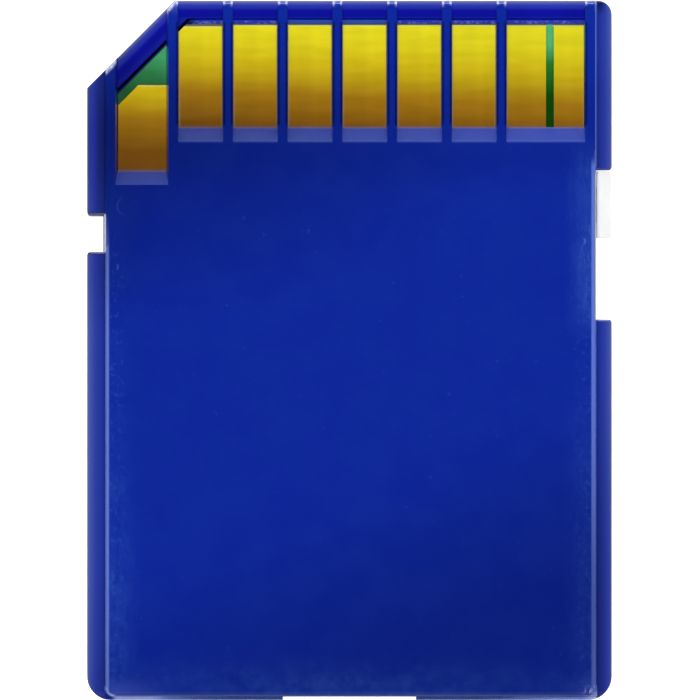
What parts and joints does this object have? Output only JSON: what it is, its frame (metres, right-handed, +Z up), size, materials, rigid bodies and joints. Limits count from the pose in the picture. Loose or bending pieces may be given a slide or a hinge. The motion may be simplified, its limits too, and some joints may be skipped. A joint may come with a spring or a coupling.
{
  "type": "memory card",
  "caption": "Thin blue plastic memory card with a cut corner, gold contacts in ribbed windows at its leading edge, stepped side rails and a white sliding write-lock tab.",
  "frame": {"origin": "centre of the card's outline, on the plane of its front face, on which it lies", "axes": "+Y towards the leading contact edge, +X towards the side with the write lock, +Z up out of the contact side"},
  "size_m": [0.024, 0.032, 0.0021],
  "materials": {
    "cover_plastic": "satin blue moulding",
    "slider_plastic": "satin white moulding",
    "board_laminate": "green solder mask",
    "contact_gold": "gold plate, darker towards the back",
    "chip_package": "matt black moulding",
    "tinned_leads": "tinned",
    "capacitor_ceramic": "matt with tinned ends",
    "resistor_ceramic": "matt with tinned ends",
    "label_film": "plain coated film"
  },
  "bodies": {
    "card": {"rear_cover": "cover_plastic", "front_cover": "cover_plastic", "circuit_board": "board_laminate", "flash_chip": "chip_package", "flash_chip_leads": "tinned_leads", "controller_chip": "chip_package", "controller_terminals": "tinned_leads", "front_label": "label_film", "contact_1": "contact_gold", "contact_2": "contact_gold", "contact_3": "contact_gold", "contact_4": "contact_gold", "contact_5": "contact_gold", "contact_6": "contact_gold", "contact_7": "contact_gold", "contact_8": "contact_gold", "contact_9": "contact_gold", "capacitor_1": "capacitor_ceramic", "capacitor_2": "capacitor_ceramic", "capacitor_3": "capacitor_ceramic", "capacitor_4": "capacitor_ceramic", "resistor_1": "resistor_ceramic", "resistor_2": "resistor_ceramic", "resistor_3": "resistor_ceramic", "resistor_4": "resistor_ceramic"},
    "lock": {"lock_slider": "slider_plastic"}
  },
  "joints": [
    {"name": "lock_slide", "type": "slide", "parent": "card", "child": "lock", "axis": [0, -1, 0], "range_m": [0, 0.00366]}
  ]
}
